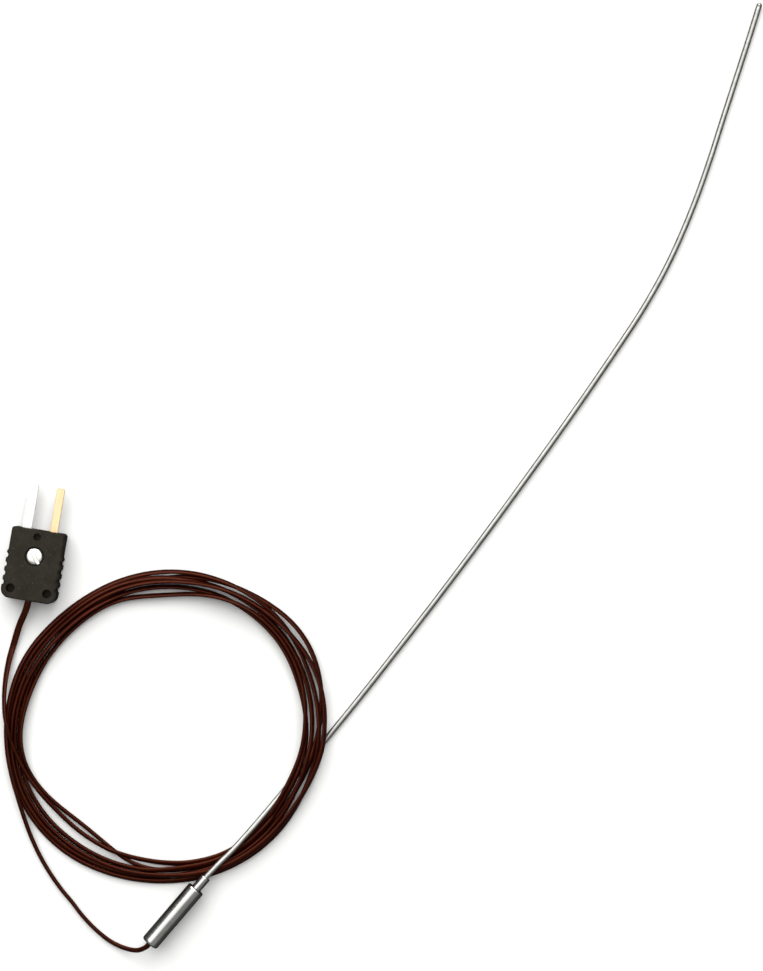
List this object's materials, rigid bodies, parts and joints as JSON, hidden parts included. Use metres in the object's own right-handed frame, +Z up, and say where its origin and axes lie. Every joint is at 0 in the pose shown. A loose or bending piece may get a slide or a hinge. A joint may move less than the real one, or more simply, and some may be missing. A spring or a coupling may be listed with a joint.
{
  "type": "sheathed thermocouple",
  "caption": "Temperature probe: thin bent metal sheath with a stepped transition joint, a long coiled two-core lead and a flat two-blade plug that unscrews.",
  "frame": {"origin": "on the resting surface, under the middle of the probe and transition joint (the lead and plug are left out of that box)", "axes": "+X along the transition joint towards the probe's tip, +Y to the side that the bent tip and the plug lie on, +Z up from the resting surface"},
  "size_m": [0.3298, 0.1218, 0.008],
  "materials": {
    "sheath_steel": "drawn stainless tube, fine lengthwise lines",
    "joint_steel": "polished stainless",
    "weld_steel": "weld bead",
    "magnesia": "compacted powder",
    "iron": "bare wire",
    "constantan": "bare wire",
    "crimp": "plated crimp barrel",
    "potting": "cast resin",
    "white_insulation": "extruded insulation",
    "red_insulation": "extruded insulation",
    "lead_jacket": "glossy brown fluoropolymer jacket",
    "plug_plastic": "moulded glass-filled plastic",
    "gold_plate": "thin gold-coloured plate",
    "nickel_plate": "satin nickel plate",
    "bright_steel": "bright plated screw",
    "spring_steel": "blued spring steel"
  },
  "bodies": {
    "probe_and_plug_base": {"probe_sheath": "sheath_steel", "tip_weld_cap": "weld_steel", "magnesia_insulation": "magnesia", "positive_thermoelement": "iron", "negative_thermoelement": "constantan", "hot_junction_bead": "weld_steel", "transition_sleeve": "joint_steel", "reducer_bush": "joint_steel", "sheath_end_seal": "potting", "potting_compound": "potting", "positive_splice": "crimp", "negative_splice": "crimp", "positive_core_at_joint": "white_insulation", "negative_core_at_joint": "red_insulation", "lead_tail_joint": "lead_jacket", "lead_coil": "lead_jacket", "lead_tail_plug": "lead_jacket", "plug_base": "plug_plastic", "positive_blade": "gold_plate", "negative_blade": "nickel_plate", "cover_nut": "bright_steel", "positive_strand": "iron", "negative_strand": "constantan", "positive_core_in_plug": "white_insulation", "negative_core_in_plug": "red_insulation"},
    "plug_cover": {"plug_cover": "plug_plastic"},
    "cover_screw_retainer": {"screw_retainer": "spring_steel"},
    "cover_screw": {"cover_screw": "bright_steel"},
    "positive_clamp": {"clamp_washer_positive": "nickel_plate"},
    "positive_terminal_screw": {"terminal_screw_positive": "bright_steel"},
    "negative_clamp": {"clamp_washer_negative": "nickel_plate"},
    "negative_terminal_screw": {"terminal_screw_negative": "bright_steel"}
  },
  "joints": [
    {"name": "cover_lift", "type": "slide", "parent": "probe_and_plug_base", "child": "plug_cover", "axis": [0, 0, 1], "range_m": [0, 0.012]},
    {"name": "cover_screw_rise", "type": "slide", "parent": "plug_cover", "child": "cover_screw_retainer", "axis": [0, 0, 1], "range_m": [0, 0.00135]},
    {"name": "cover_screw_turn", "type": "hinge", "parent": "cover_screw_retainer", "child": "cover_screw", "pos_m": [-0.09717, 0.07718, 0.007], "axis": [0, 0, 1], "range_deg": [0, 1085]},
    {"name": "positive_clamp_rise", "type": "slide", "parent": "probe_and_plug_base", "child": "positive_clamp", "axis": [0, 0, 1], "range_m": [0, 0.0008]},
    {"name": "positive_terminal_screw_turn", "type": "hinge", "parent": "positive_clamp", "child": "positive_terminal_screw", "pos_m": [-0.09916, 0.07076, 0.0055], "axis": [0, 0, 1], "range_deg": [0, 725]},
    {"name": "negative_clamp_rise", "type": "slide", "parent": "probe_and_plug_base", "child": "negative_clamp", "axis": [0, 0, 1], "range_m": [0, 0.0008]},
    {"name": "negative_terminal_screw_turn", "type": "hinge", "parent": "negative_clamp", "child": "negative_terminal_screw", "pos_m": [-0.10377, 0.07849, 0.0055], "axis": [0, 0, 1], "range_deg": [0, 725]}
  ],
  "couplings": [
    {"joint": "cover_screw_turn", "follows": "cover_screw_rise", "rad_per_m": 13963},
    {"joint": "positive_terminal_screw_turn", "follows": "positive_clamp_rise", "rad_per_m": 15708},
    {"joint": "negative_terminal_screw_turn", "follows": "negative_clamp_rise", "rad_per_m": 15708}
  ]
}
